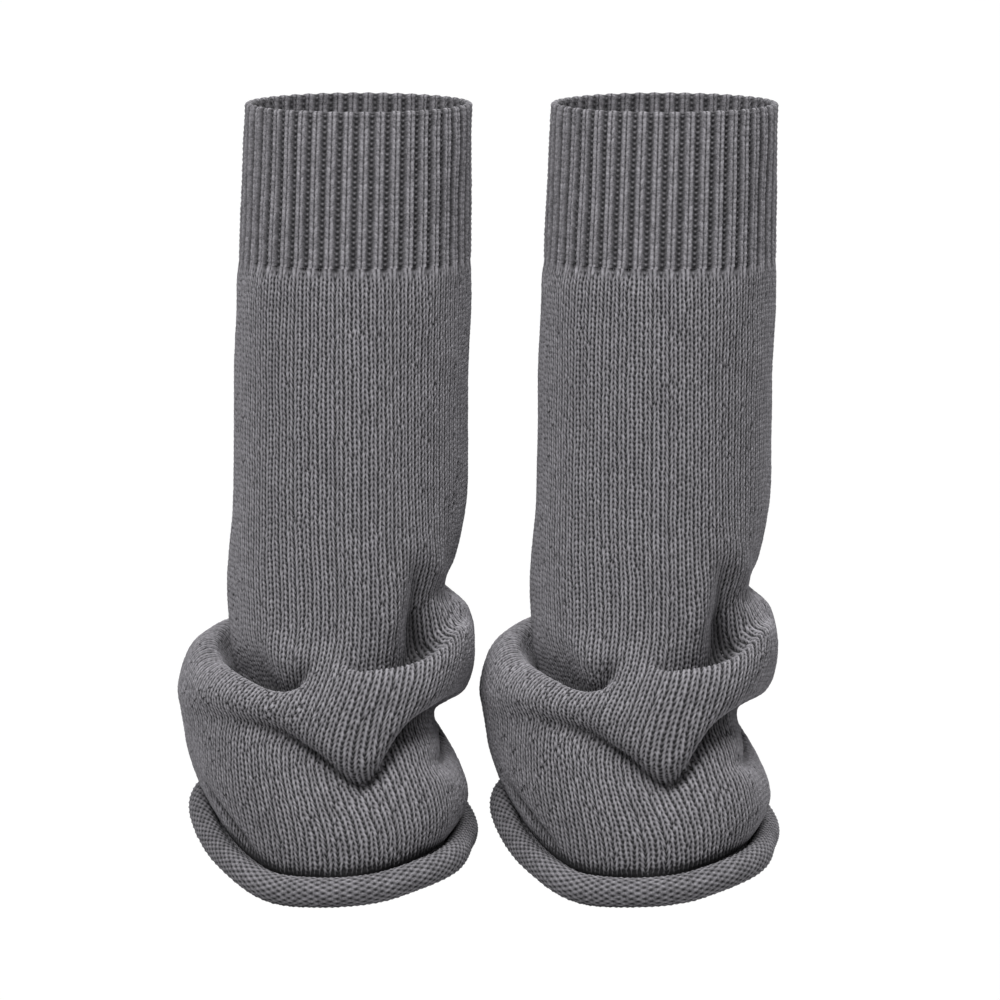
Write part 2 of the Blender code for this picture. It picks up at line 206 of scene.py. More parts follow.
def ellipse_reach(bearings, centre_x, half_width, half_depth):
    """How far an ellipse centred on (centre_x, 0) is from the axis, at each bearing."""
    cosine, sine = np.cos(np.radians(bearings)), np.sin(np.radians(bearings))
    square = (cosine / half_width) ** 2 + (sine / half_depth) ** 2
    linear = -2 * centre_x * cosine / half_width**2
    constant = (centre_x / half_width) ** 2 - 1
    return (-linear + np.sqrt(linear**2 - 4 * square * constant)) / (2 * square)


def round_tube(table, bearings):
    """A table's smooth values at each bearing. Its first axis counts the stations."""
    turns = np.array([bearing for _, bearing in STATIONS], float)
    turns = np.concatenate([turns[-2:] - 360, turns, turns[:3] + 360])
    table = np.concatenate([table[-2:], table, table[:3]])
    places = np.interp(bearings % 360, turns, np.arange(len(turns)))
    return cubic(turns.reshape((-1,) + (1,) * (table.ndim - 1)), table, places)


def slouch_rings(bearings):
    """Reach and height of the slouch's rings at each bearing."""
    table = np.array([[row[1:] for row in REACH], [row[1:] for row in HEIGHT]], float)
    return round_tube(table.transpose(2, 1, 0), bearings).transpose(1, 0, 2)


def leg_rings(bearings):
    """Reach and height of all the leg's rings at each bearing: (rings, bearings, 2)."""
    straight = [
        np.stack([ellipse_reach(bearings, *row[2:]), np.full(len(bearings), row[1])], axis=-1)
        for row in TUBE
    ]
    return np.concatenate([straight, slouch_rings(bearings)])


def leg_profiles(bearings, places):
    """Reach and height down the leg at each bearing. A place counts rings from the leg's top."""
    rings = leg_rings(bearings)
    chords = np.sqrt(np.linalg.norm(np.diff(rings, axis=0), axis=-1))
    knots = np.concatenate([np.zeros((1, len(bearings))), np.cumsum(chords, axis=0)])
    return cubic(knots[..., None], rings, places)


def cloth_down(bearings, places):
    """Millimetres of cloth from the cuff down to each place: (places, bearings)."""
    steps = np.linspace(0, LAST_RING, LAST_RING * STEPS_PER_RING + 1)
    lengths = np.linalg.norm(np.diff(leg_profiles(bearings, steps), axis=0), axis=-1)
    totals = np.concatenate([np.zeros((1, len(bearings))), np.cumsum(lengths, axis=0)])
    totals *= LEG_CLOTH / totals[-1]
    return np.stack([np.interp(places, steps, column) for column in totals.T], axis=-1)


def crease_depth(bearings, down):
    """How far the creases push the cloth out at each bearing and length of cloth."""
    depth = np.zeros(down.shape)
    for _, bearing, start, to_bearing, end, width, to_width, deep, to_deep, runs_out in CREASES:
        across = ((bearings - bearing + 180) % 360 - 180) * MM_PER_DEGREE
        along = down - start
        run_across = ((to_bearing - bearing + 180) % 360 - 180) * MM_PER_DEGREE
        run_along = end - start
        part = (across * run_across + along * run_along) / (run_across**2 + run_along**2)
        part = np.clip(part, 0.0, 1.0)
        distance = np.hypot(across - part * run_across, along - part * run_along)
        fade = ease(part / CREASE_FADE)
        if not runs_out:
            fade = fade * ease((1 - part) / CREASE_FADE)
        bell = np.exp(-CREASE_SHARPNESS * (distance / (width + (to_width - width) * part)) ** 2)
        depth += (deep + (to_deep - deep) * part) * fade * bell
    return depth * ease((LEG_CLOTH - down) / LEVEL_NECK)


def placed(profiles, bearings):
    """Points from (reach, height) profiles at the bearings."""
    angles = np.radians(bearings)
    reach, height = profiles[..., 0], profiles[..., 1]
    return np.stack([reach * np.cos(angles), -reach * np.sin(angles), height], axis=-1)


def outward(surface, bearings, places):
    """A surface's unit normals, away from the axis on the outer face of an upright wall."""
    across = surface(bearings + BEARING_STEP, places) - surface(bearings - BEARING_STEP, places)
    lower, upper = np.minimum(places + PLACE_STEP, LAST_RING), np.maximum(places - PLACE_STEP, 0)
    normals = np.cross(across, surface(bearings, lower) - surface(bearings, upper))
    return normals / np.linalg.norm(normals, axis=-1, keepdims=True)


def smooth_leg(bearings, places):
    """The leg's outer face without its creases: (places, bearings, 3)."""
    return placed(leg_profiles(bearings, places), bearings)


def creased_leg(bearings, places):
    """The leg's outer face."""
    depth = crease_depth(bearings, cloth_down(bearings, places))
    return smooth_leg(bearings, places) + depth[..., None] * outward(smooth_leg, bearings, places)


def neck_frame(neck):
    """Unit vectors out from the tube and down, square to the hem's neck at each of its points."""
    around = np.roll(neck, -1, axis=0) - np.roll(neck, 1, axis=0)
    around /= np.linalg.norm(around, axis=-1, keepdims=True)
    down = np.array([0.0, 0.0, -1.0]) + around[:, 2:3] * around
    down /= np.linalg.norm(down, axis=-1, keepdims=True)
    return np.cross(around, down), down


# ---------------------------------------------------------------- the knitting

WALES = 88  # columns of stitches round the tube, two to a rib
COURSES = 124  # rows of stitches down the leg
WALE_COLUMNS = 4  # columns of mesh to a wale
OUTER_WALES = np.arange(WALES * WALE_COLUMNS) / WALE_COLUMNS  # the wale at each column of mesh
INNER_WALES = np.arange(WALES, dtype=float)  # the same on the inside
COURSE_ROWS = 3  # rows of mesh to a course
CHEVRON = 1.25  # courses that a stitch's leg drops from its wale's edge to its centre
CHEVRON_RANGE = (0.6, 1.5)  # of that, for the least and the most steep wale
LEVEL_COURSES = 1.5  # over which the stitches level out at an end of a piece
LEVEL_RELIEF = -0.3  # millimetres, of the cloth's end rows
RIB_FADES = 8.0  # millimetres below the cuff over which the ribs give way to the plain leg
STEP_FADES = 14.0  # the same for the small step between the cuff's size and the leg's

# How far each stitch differs from the next.
STITCH_LEAN = 0.045  # of a wale, to a side
STITCH_SLACK = 0.045  # of a course, up or down
STITCH_LIFT = 0.055  # millimetres out
CUFF_LIFT = 0.07
HEM_LIFT = 0.05
RIM_LIFT = 0.04

# The straight leg and the slouch are two pieces of mesh, which meet at this row.
SPLIT_ROW = 47 * COURSE_ROWS + 1
STRAIGHT_INNER_ROWS, SLOUCH_INNER_ROWS = 12, 36  # rows of mesh down the inside

# Heights of the stockinette's outer points: a row for each row of mesh in a course.
STOCKINETTE = (
    # groove, leg, centre, leg
    (-0.30, 0.38, -0.60, 0.38),
    (-0.60, 0.22, -1.15, 0.30),
    (-1.05, 0.30, -0.85, 0.22),
)

CUFF_COURSES = 28
# Columns of mesh across half a rib, from the middle of a valley. The knit wale stands up between
# two sunken purl wales, and shows the two legs of its stitches.
HALF_RIB = (
    # across, outer face, knit beads, purl beads, chevron, inner face, inner beads
    (0.000, -1.80, 0.00, 0.50, 0.0, 0.45, 0.10),
    (0.095, -1.75, 0.00, 0.25, 0.0, 0.60, 0.45),
    (0.180, -1.25, 0.15, 0.10, -0.3, 0.10, 0.20),
    (0.250, -0.20, 0.15, 0.00, -0.3, -0.55, 0.20),
    (0.355, 0.20, 0.16, 0.00, 0.0, -0.75, 0.35),
    (0.500, -0.85, 0.15, 0.00, 0.3, -0.80, 0.45),
)
RIB_COLUMNS = HALF_RIB + tuple((round(1 - across, 3), *rest) for across, *rest in HALF_RIB[-2:0:-1])

# The sheet's own grid, from which stitches are placed.
SHEET_BEARING = 0.5  # degrees
SHEET_DOWN = 0.5  # millimetres of cloth
SOFTNESS = 1.8  # millimetres over which the cloth rounds its sharpest turns
HOLLOW_SIZE = 7.0  # millimetres of cloth round a place, for how deep it lies in a fold

# How far the columns of stitches lean off their bearing, in degrees, at millimetres of cloth down.
DRIFT = (
    # down, and the lean at each station
    (0, 0, 0, 0, 0, 0, 0, 0, 0, 0, 0, 0, 0),
    (130, 0, 0, 0, 0, 0, 0, 0, 0, 0, 0, 0, 0),
    (205, 5, -1.5, -2.5, 0, 1, -1.5, -3, -5.5, -9, -6.5, 0, 3.5),
    (270, 20, 15.5, 13, 13.5, 14.5, 9.5, 6, -2, -13, -11, 2, 13),
    (325, 16, 10, 7, 5, 3, 0, -2.5, -4, -13, -11, 0, 12),
    (340, 16, 10, 7, 5, 3, 0, -2.5, -4, -13, -11, 0, 12),
)

# Slow unevenness of the cloth: waves round the tube, waves down its length, and how high.
SWELLS = (
    # round, down, phase round, phase down, height
    (3, 2.2, 0.4, 1.1, 0.35),
    (5, 3.7, 2.1, 0.3, 0.28),
    (8, 2.9, 4.4, 2.7, 0.22),
    (7, 6.1, 1.3, 5.2, 0.20),
    (11, 4.3, 5.6, 0.9, 0.15),
    (13, 8.7, 3.2, 3.9, 0.12),
)

UNEVEN = np.random.default_rng(88)


def swell(turns, down):
    """Millimetres that the cloth swells by; turns and down both run from 0 to 1."""
    total = np.zeros(np.broadcast(turns, down).shape)
    for rounds, lengths, at_round, at_down, height in SWELLS:
        total += height * np.sin(2 * np.pi * rounds * turns + at_round) * np.sin(
            2 * np.pi * lengths * down + at_down
        )
    return total


def leg_sheet():
    """The leg's outer face and its normals, on even steps of cloth down and of bearing."""
    bearings = np.arange(0, 360, SHEET_BEARING)
    points = creased_leg(bearings, np.linspace(0, LAST_RING, LAST_RING * STEPS_PER_RING + 1))
    lengths = np.linalg.norm(np.diff(points, axis=0), axis=-1)
    lengths = np.concatenate([np.zeros((1, len(bearings))), np.cumsum(lengths, axis=0)])
    lengths *= LEG_CLOTH / lengths[-1]
    even = np.linspace(0, LEG_CLOTH, int(LEG_CLOTH / SHEET_DOWN) + 1)
    sheet = np.empty((len(even), len(bearings), 3))
    for column in range(len(bearings)):
        for axis in range(3):
            sheet[:, column, axis] = np.interp(even, lengths[:, column], points[:, column, axis])
    sheet = averaged(sheet, SOFTNESS)
    across = np.roll(sheet, -1, axis=1) - np.roll(sheet, 1, axis=1)
    normals = np.cross(across, np.gradient(sheet, axis=0))
    return sheet, normals / np.linalg.norm(normals, axis=-1, keepdims=True)


def averaged(sheet, size):
    """The sheet averaged over some millimetres round each point, with its top and foot held."""
    for step, axis in ((SHEET_DOWN, 0), (SHEET_BEARING * MM_PER_DEGREE, 1)):
        reach = int(3 * size / step)
        weights = np.exp(-0.5 * (np.arange(-reach, reach + 1) * step / size) ** 2)
        weights /= weights.sum()
        if axis == 0:
            above = 2 * sheet[:1] - sheet[reach:0:-1]
            below = 2 * sheet[-1:] - sheet[-2 : -reach - 2 : -1]
            wide = np.concatenate([above, sheet, below])
        else:
            wide = np.concatenate([sheet[:, -reach:], sheet, sheet[:, :reach]], axis=1)
        spots = np.arange(sheet.shape[axis])
        sheet = sum(
            weight * wide.take(spots + shift, axis=axis) for shift, weight in enumerate(weights)
        )
    return sheet


def hollows(sheet, normals):
    """Millimetres that each place lies below the cloth round it."""
    return ((averaged(sheet, HOLLOW_SIZE) - sheet) * normals).sum(axis=-1, keepdims=True)


def at(grid, bearings, down):
    """The grid's value at each bearing and length of cloth."""
    across = (bearings % 360) / SHEET_BEARING
    along = np.clip(down / SHEET_DOWN, 0, len(grid) - 1.000001)
    column, row = np.floor(across).astype(int), np.floor(along).astype(int)
    across, along = (across - column)[..., None], (along - row)[..., None]
    column, after = column % grid.shape[1], (column + 1) % grid.shape[1]
    upper = grid[row, column] * (1 - across) + grid[row, after] * across
    lower = grid[row + 1, column] * (1 - across) + grid[row + 1, after] * across
    return upper * (1 - along) + lower * along


def wale_bearing(wales):
    """The bearing at which a wale leaves the cuff, evenly spaced round the leg's top."""
    _, _, centre_x, half_width, half_depth = TUBE[0]
    angle = 2 * np.pi * wales / WALES
    y, x = half_depth * np.sin(angle), centre_x + half_width * np.cos(angle)
    return np.degrees(np.unwrap(np.arctan2(y, x)))


def drift(bearings, down):
    """Degrees that a wale has leant by, at each bearing and length of cloth."""
    downs = np.array([row[0] for row in DRIFT], float)
    rows = round_tube(np.array([row[1:] for row in DRIFT], float).T, bearings).T
    result = np.empty(down.shape)
    for column in range(down.shape[1]):
        spots = np.interp(down[:, column], downs, np.arange(len(downs)))
        result[:, column] = cubic(downs[:, None], rows[:, column : column + 1], spots)[:, 0]
    return result


def chevron(wales):
    """0 at a wale's edges and 1 at its centre."""
    return 1 - np.abs(2 * (wales % 1) - 1)


def uneven(courses, wales, size):
    """A small different amount for each stitch."""
    return UNEVEN.normal(0, size, (courses, wales))


def leg_knit(sheet, normals):
    """The leg's outer points, stitch by stitch, with each point's course and depth in a fold."""
    rows = COURSES * COURSE_ROWS
    row = np.arange(rows + 1)[:, None]
    wales = OUTER_WALES
    stitch_course = np.clip(row // COURSE_ROWS, 0, COURSES - 1)
    stitch_wale = np.floor(wales).astype(int)
    ends = ease(np.minimum(row, rows - row) / (COURSE_ROWS * LEVEL_COURSES))
    steepness = CHEVRON * UNEVEN.uniform(*CHEVRON_RANGE, WALES)[stitch_wale]
    courses = row / COURSE_ROWS + (steepness * chevron(wales) - 0.5 * CHEVRON) * ends
    lean, slack, lift = (
        uneven(COURSES, WALES, size)[stitch_course, stitch_wale]
        for size in (STITCH_LEAN, STITCH_SLACK, STITCH_LIFT)
    )
    relief = np.array(STOCKINETTE)[row % COURSE_ROWS, np.arange(len(wales)) % WALE_COLUMNS]
    relief = np.where((row == 0) | (row == rows), LEVEL_RELIEF, relief + lift)
    down = np.clip((courses + slack * ends) / COURSES, 0, 1) * LEG_CLOTH
    top = wale_bearing(wales - 0.5)
    bearings = top + lean * ends * 360 / WALES + drift(top, down)
    height = relief + swell(bearings / 360, down / LEG_CLOTH) * ends
    # The cloth leaves the cuff with the ribs' own relief and at the cuff's own size.
    across_rib, rib_relief = np.array(RIB_COLUMNS)[:, :2].T
    ribbed = np.interp((wales - 0.5) / 2, across_rib, rib_relief, period=1.0)
    height += (ribbed - relief) * (1 - ease(down / RIB_FADES))
    step = ellipse_reach(top, *TUBE[0][2:]) - ellipse_reach(top, *CUFF[1][2:])
    height -= step * (1 - ease(down / STEP_FADES))
    outer = at(sheet, bearings, down) + height[..., None] * at(normals, bearings, down)
    hollow = at(hollows(sheet, normals), bearings, down)[..., 0]
    return outer, np.broadcast_to(row / COURSE_ROWS, down.shape), hollow


# ---------------------------------------------------------------- meshes

# Bands of the baked picture that a wall's faces and rims are laid out in, from low to high.
FRONT_BAND = (0.20, 0.998)
BACK_BAND = (0.03, 0.18)
TOP_RIM_BAND = (0.016, 0.024)
FOOT_RIM_BAND = (0.002, 0.010)
CUFF_BAND = (0.01, 0.99)
CUFF_FOOT_BAND = (0.001, 0.004)
BAKE_MARGIN = 0.002  # left clear at each side of the picture


def quads(rows, columns, flip):
    """Rows and columns of a ring-shaped grid's quads: (2, quads, corners). The column after the
    last is the first one again."""
    row, column = np.meshgrid(np.arange(rows - 1), np.arange(columns), indexing="ij")
    corners = [(row, column), (row, column + 1), (row + 1, column + 1), (row + 1, column)]
    return np.stack(corners[::-1] if flip else corners, axis=-1).reshape(2, -1, 4)


def new_object(name, points, faces, material):
    """A mesh object in the scene, of one material."""
    mesh = bpy.data.meshes.new(name)
    mesh.from_pydata(points, [], faces)
    mesh.materials.append(material)
    made = bpy.data.objects.new(name, mesh)
    bpy.context.scene.collection.objects.link(made)
    return made


class Wall:
    """A closed wall of cloth: rings of points down one face, up the other, and rims between."""

    def __init__(self):
        self.points, self.faces, self.sharp = [], [], []
        self.bake, self.stitch, self.fold = [], [], []
        self.count = 0

    def face(self, points, wales, courses, band, flip=False, hollow=0.0):
        """Adds one face of the wall. wales and courses say where its points lie in the knitting,
        and hollow how deep they lie in a fold."""
        rows, columns = points.shape[:2]
        first = self.count
        self.points.append(points.reshape(-1, 3))
        self.count += rows * columns
        row, column = quads(rows, columns, flip)
        self.faces.extend((first + row * columns + column % columns).tolist())

        def wrapped(values, turn=0):
            """Each ring's values, with its first repeated a turn on."""
            values = np.broadcast_to(values, (rows, columns))
            return np.concatenate([values, values[:, :1] + turn], axis=1)

        even = np.linspace(BAKE_MARGIN, 1 - BAKE_MARGIN, columns + 1)
        steps = np.linspace(*band, rows)[:, None]
        for layer, places in (
            (self.stitch, (wrapped(wales, WALES), wrapped(courses))),
            (self.fold, (wrapped(hollow), wrapped(hollow))),
            (self.bake, np.broadcast_arrays(even, steps)),
        ):
            layer.append(np.stack([part[row, column] for part in places], axis=-1).reshape(-1, 2))
        return first, columns, rows

    def rim(self, outer, inner, last, band, flip=False, sharp=False):
        """Joins the end ring of one face to that of the other, which may have fewer points."""
        (first_a, columns_a, rows_a), (first_b, columns_b, rows_b) = outer, inner
        first_a += (rows_a - 1) * columns_a if last else 0
        first_b += (rows_b - 1) * columns_b if last else 0
        share = columns_a // columns_b
        low, high = band
        width = 1 - 2 * BAKE_MARGIN
        for column in range(columns_b):
            steps = range(share + 1)
            face = [first_a + (column * share + step) % columns_a for step in steps]
            face += [first_b + (column + 1) % columns_b, first_b + column]
            places = [((column + step / share) / columns_b, high) for step in steps]
            places += [((column + 1) / columns_b, low), (column / columns_b, low)]
            places = [(BAKE_MARGIN + width * across, along) for across, along in places]
            if flip:
                face, places = face[::-1], places[::-1]
            self.faces.append(face)
            self.bake.append(np.array(places))
            self.stitch.append(np.array([(across * WALES, 0.5) for across, _ in places]))
            self.fold.append(np.zeros((len(places), 2)))
        if sharp:
            self.sharp += [(first_a, columns_a), (first_b, columns_b)]

    def build(self, name, material, x, hold_height):
        """The wall's object, with its tube's axis at x and hold_height at height 0."""
        points = np.concatenate(self.points) * MM
        points += (x * MM, 0.0, -hold_height * MM)
        piece = new_object(name, points, self.faces, material)
        mesh = piece.data
        for layer, corners in (("OFBake", self.bake), ("Stitch", self.stitch), ("Fold", self.fold)):
            uv = mesh.uv_layers.new(name=layer)
            uv.data.foreach_set("uv", np.concatenate(corners).astype(np.float32).ravel())
        mesh.uv_layers["OFBake"].active_render = True
        if self.sharp:
            ends = np.empty(len(mesh.edges) * 2, np.int32)
            mesh.edges.foreach_get("vertices", ends)
            ends = ends.reshape(-1, 2)
            marked = np.zeros(len(ends), bool)
            for first, columns in self.sharp:
                marked |= ((ends >= first) & (ends < first + columns)).all(axis=1)
            edges = mesh.attributes.new("sharp_edge", "BOOLEAN", "EDGE")
            edges.data.foreach_set("value", marked)
        mesh.shade_smooth()
        return piece


# ---------------------------------------------------------------- the leg


def leg_pieces(sheet, normals, material, side, x, hold_height):
    """The leg's knitted wall, in a straight and a slouched piece."""
    outer, courses, hollow = leg_knit(sheet, normals)
    rows = COURSES * COURSE_ROWS
    split_down = SPLIT_ROW / rows * LEG_CLOTH
    pieces = []
    for part, start, end, down in (
        ("straight", 0, SPLIT_ROW, np.linspace(0, split_down, STRAIGHT_INNER_ROWS)),
        ("slouch", SPLIT_ROW, rows, np.linspace(split_down, LEG_CLOTH, SLOUCH_INNER_ROWS)),
    ):
        wall = Wall()
        rings = slice(start, end + 1)
        front = wall.face(
            outer[rings], OUTER_WALES, courses[rings], FRONT_BAND, hollow=hollow[rings]
        )
        bearings, down = np.meshgrid(wale_bearing(INNER_WALES), down)
        inside = at(sheet, bearings, down) - WALL * at(normals, bearings, down)
        back = wall.face(inside, INNER_WALES, down / LEG_CLOTH * COURSES, BACK_BAND, flip=True)
        wall.rim(front, back, False, TOP_RIM_BAND, flip=True, sharp=True)
        wall.rim(front, back, True, FOOT_RIM_BAND, sharp=part == "straight")
        pieces.append(wall.build(f"{side}_{part}_knit", material, x, hold_height))
    return pieces


# ---------------------------------------------------------------- the ribbed cuff

# The rim, from the outer face over to the inner one.
RIM = (
    # in from the outer face, up from the last course
    (0.35, 0.75),
    (1.10, 1.25),
    (2.10, 1.30),
    (3.00, 0.90),
)
RIM_WIDTH = 3.3  # in from the outer face, where the ribs have died out
RIM_KEEPS = 0.8  # of the ribs' relief, at the rim's outer edge
RIM_SCALLOP = 0.55  # that a rib stands above a valley at the rim
LAST_COURSE = 1.3  # that the last course lies below the rim
INNER_RISE = 0.3  # that the inner stitches' middle stands in from the solid's inside

CUFF_ROWS, CUFF_INNER_ROWS = 4, 2  # rows of mesh to a course
CUFF_CHEVRON = 0.8  # courses to one unit of chevron in RIB_COLUMNS
PURL_TURN = 1.6  # radians of a course that the purl beads lie ahead of the knit ones
CUFF_SWELL = 0.6  # of the slow unevenness
CUFF_SWELL_LENGTH = 300.0


def cuff_piece(material, side, x, hold_height):
    """The cuff's knitted wall: up the ribs, over the rim and down the inside."""
    table = np.tile(np.array(RIB_COLUMNS), (RIB_COUNT, 1))
    across, outer, knit_bead, purl_bead, slope, inner, inner_bead = table.T
    ribs = np.repeat(np.arange(RIB_COUNT), len(RIB_COLUMNS)) + across
    angles = 2 * np.pi * ribs / RIB_COUNT
    wale = np.floor(ribs * 2 + 0.5).astype(int) % WALES
    rim, foot = CUFF
    foot_height, top = TUBE[0][1], rim[1] - LAST_COURSE

    def ring(depth, height):
        """Points at each height, by their depth inside the cuff's outline."""
        part = (height - foot_height) / (rim[1] - foot_height)
        centre = foot[2] + (rim[2] - foot[2]) * part
        half_width = foot[3] + (rim[3] - foot[3]) * part - depth
        half_depth = foot[4] + (rim[4] - foot[4]) * part - depth
        return np.stack(
            [centre + half_width * np.cos(angles), -half_depth * np.sin(angles), height], axis=-1
        )

    def face(course_rows, relief, knit, purl, slope, inwards, depth):
        """One face's points and courses. inwards is 1 where its relief stands in, or -1."""
        last = course_rows * CUFF_COURSES
        row = np.arange(last + 1)[:, None]
        ends = ease(np.minimum(row, last - row) / (LEVEL_COURSES * course_rows))
        course = row / course_rows - slope * ends
        stitch_course = np.clip(row // course_rows, 0, CUFF_COURSES)
        lift = uneven(CUFF_COURSES + 1, WALES, CUFF_LIFT)[stitch_course, wale]
        phase = 2 * np.pi * row / course_rows
        out = relief + knit * np.cos(phase) + purl * np.cos(phase + PURL_TURN) + lift * ends
        height = foot_height + np.clip(course / CUFF_COURSES, 0, 1) * (top - foot_height)
        slow = CUFF_SWELL * swell(ribs / RIB_COUNT, height / CUFF_SWELL_LENGTH) * ends
        points = ring(depth + inwards * out - slow, height)
        return points, np.broadcast_to(row / course_rows, out.shape)

    level = np.zeros(len(ribs))
    outside, outside_courses = face(
        CUFF_ROWS, outer, knit_bead, purl_bead, slope * CUFF_CHEVRON, -1, 0.0
    )
    inside, inside_courses = face(
        CUFF_INNER_ROWS, inner, inner_bead, level, level, 1, CUFF_INSIDE - INNER_RISE
    )
    bump = 0.5 - 0.5 * np.cos(2 * np.pi * ribs)
    over = []
    for depth, up in RIM:
        ribbed = outer * (1 - depth / RIM_WIDTH) * RIM_KEEPS
        height = top + up + RIM_SCALLOP * (bump - 0.5) + uneven(1, len(ribs), RIM_LIFT)[0]
        over.append(ring(depth - ribbed, height))
    over_courses = np.full((len(over), len(ribs)), CUFF_COURSES + 0.5)
    points = np.concatenate([outside, over, inside[::-1]])
    courses = np.concatenate([outside_courses, over_courses, inside_courses[::-1]])
    wall = Wall()
    first, columns, rows = wall.face(points, ribs * 2, courses, CUFF_BAND, flip=True)
    last = first + (rows - 1) * columns
    wall.rim((first, columns, 1), (last, columns, 1), False, CUFF_FOOT_BAND)
    wall.sharp = [(first, columns)]
    return wall.build(f"{side}_cuff_knit", material, x, hold_height)


# ---------------------------------------------------------------- the rolled hem

HEM_COURSE = 3.0  # millimetres of the roll's outside to a course
HEM_ROWS = 4  # rows of mesh to a course
HEM_INNER_ROWS = 30  # rows of mesh in all on the inside
PURL_RELIEF = 0.42
GROOVE_COURSES = 15.5  # where the roll dips into the groove behind it
ROLL_UNEVEN = (
    # waves round, phase, share of the roll's radius
    (2, 0.7, 0.035),
    (3, 2.6, 0.030),
    (5, 4.1, 0.025),
    (9, 1.9, 0.012),
)


def roll_path(lengths, inset):
    """(out, down) at lengths along the hem from the seam, the way that its outer face looks there,
    and its whole length. The path runs inset from the outer face."""
    tight = ROLL_RADIUS - WALL - ROLL_LAYER_GAP
    turns = np.linspace(0, ROLL_TURNS, ROLL_STEPS)
    closing = ease((turns - ROLL_TIGHTENS_AT) / (1 - ROLL_TIGHTENS_AT))
    radius = (ROLL_RADIUS + (tight - ROLL_RADIUS) * closing)[:, None]
    spoke = np.stack([-np.cos(2 * np.pi * turns), np.sin(2 * np.pi * turns)], axis=-1)
    centre = np.array([ROLL_RADIUS - WALL, ROLL_DROP])
    chords = np.linalg.norm(np.diff(centre + radius * spoke, axis=0), axis=1)
    curled = np.concatenate([[0], np.cumsum(chords)])
    steps = np.concatenate([[0], curled + ROLL_DROP - SEAM_GAP])
    curve = centre + (radius - inset) * spoke
    curve = np.concatenate([[[curve[0, 0], SEAM_GAP]], curve])
    spoke = np.concatenate([spoke[:1], spoke])
    place, outwards = (
        np.stack([np.interp(lengths, steps, values[:, axis]) for axis in (0, 1)], axis=-1)
        for values in (curve, spoke)
    )
    return place, outwards, steps[-1]


def hem_piece(sheet, material, side, x, hold_height):
    """The hem's knitted wall: straight down from the leg, then round the roll."""
    wales = OUTER_WALES
    starts = wale_bearing(wales)
    end = np.full((1, len(wales)), LEG_CLOTH)
    neck = at(sheet, starts[None, :] + drift(starts, end), end)[0]
    out, down = neck_frame(neck)
    fullness = 1 + sum(
        share * np.sin(2 * np.pi * waves * wales / WALES + phase)
        for waves, phase, share in ROLL_UNEVEN
    )

    def face(lengths, inset, columns, height):
        """Points round the hem at lengths along its cloth, standing out by height."""
        place, outwards, _ = roll_path(lengths, inset)
        place = place[:, None, :] + height[..., None] * outwards[:, None, :]
        across = (place[..., 0] + WALL) * fullness[columns] - WALL
        along = SEAM_GAP + (place[..., 1] - SEAM_GAP) * fullness[columns]
        return neck[columns] + across[..., None] * out[columns] + along[..., None] * down[columns]

    _, _, total = roll_path(np.zeros(1), 0.0)
    courses = int(round(total / HEM_COURSE))
    rows = courses * HEM_ROWS
    row = np.arange(rows + 1)[:, None]
    lift = uneven(courses + 1, WALES, HEM_LIFT)[row // HEM_ROWS, np.floor(wales).astype(int)]
    ends = ease(np.minimum(row, rows - row) / HEM_ROWS)
    lattice = -np.cos(2 * np.pi * wales) * np.cos(2 * np.pi * row / HEM_ROWS)
    relief = lattice * PURL_RELIEF * ends + lift
    purl = face(np.linspace(0, total, rows + 1), 0.0, slice(None), relief)
    flat = np.zeros((HEM_INNER_ROWS, WALES))
    every_wale = slice(None, None, WALE_COLUMNS)
    knit = face(np.linspace(0, total, HEM_INNER_ROWS), WALL, every_wale, flat)
    knit_courses = np.linspace(0, courses, HEM_INNER_ROWS)[:, None]
    wall = Wall()
    front = wall.face(purl, wales, row / HEM_ROWS, FRONT_BAND, flip=True)
    back = wall.face(knit, INNER_WALES, knit_courses, BACK_BAND)
    wall.rim(front, back, False, TOP_RIM_BAND)
    wall.rim(front, back, True, FOOT_RIM_BAND, flip=True)
    return wall.build(f"{side}_hem_knit", material, x, hold_height)


# ---------------------------------------------------------------- the yarn

BLACK, WHITE = (0.0, 0.0, 0.0, 1.0), (1.0, 1.0, 1.0, 1.0)
YARN_GREY = (0.272, 0.264, 0.283, 1.0)
YARN_FINISH = (
    ("Roughness", 0.95),
    ("Metallic", 0.0),
    ("Specular IOR Level", 0.15),
    ("Sheen Weight", 0.08),
    ("Sheen Roughness", 0.6),
    ("Sheen Tint", (0.75, 0.75, 0.8, 1.0)),
)

# How much the yarn's tone differs, as a share of it: from one stitch's leg to the next, along its
# fibres, and slowly over the cloth.
LEG_TONES = 0.34
FIBRE_TONES = 0.46
SLOW_TONES = 0.15
FLECK_SCALE, PATCH_SCALE = 1300.0, 60.0  # of the noise, to a metre
FIBRE_RUN = (3.0, 9.0)  # the same across and along a stitch
FIBRE_RELIEF = 0.25  # of the depth between two stitches
PAINTED_GAP_SHADE = 0.92  # of the tone that painted shade takes away in a hole between stitches
FOLD_DEPTHS = (0.1, 3.0)  # millimetres, between which a fold's cloth darkens
FOLD_LIGHT = 0.25  # of the tone that is left in the deepest
BUMP_HEIGHT = 0.0005  # metres

# How deep the knitting's gaps are, of 1 for a hole: this sets their bumps and the shade
# painted into them. Places across and along count stitches.
GROOVES = (
    # between the legs: across, width, dark; and a hole in each: along, power, dark
    (0.0, 0.155, 0.52, 0.66, 1.0, 0.58),
    (0.5, 0.19, 0.70, 0.34, 0.8, 0.52),
)
BETWEEN_COURSES = 0.10
RIB_MIDDLE, RIB_VALLEY, RIB_BEADS = 0.85, 0.77, 0.12
PURL_GAPS, PURL_BUMPS = 0.30, -0.42
LATTICE, LATTICE_LEAST = 0.95, 0.12
PAINTED_HEM_SHADE, PAINTED_GROOVE_SHADE = 0.85, 0.8  # painted shade behind the rolled hem, and in its groove
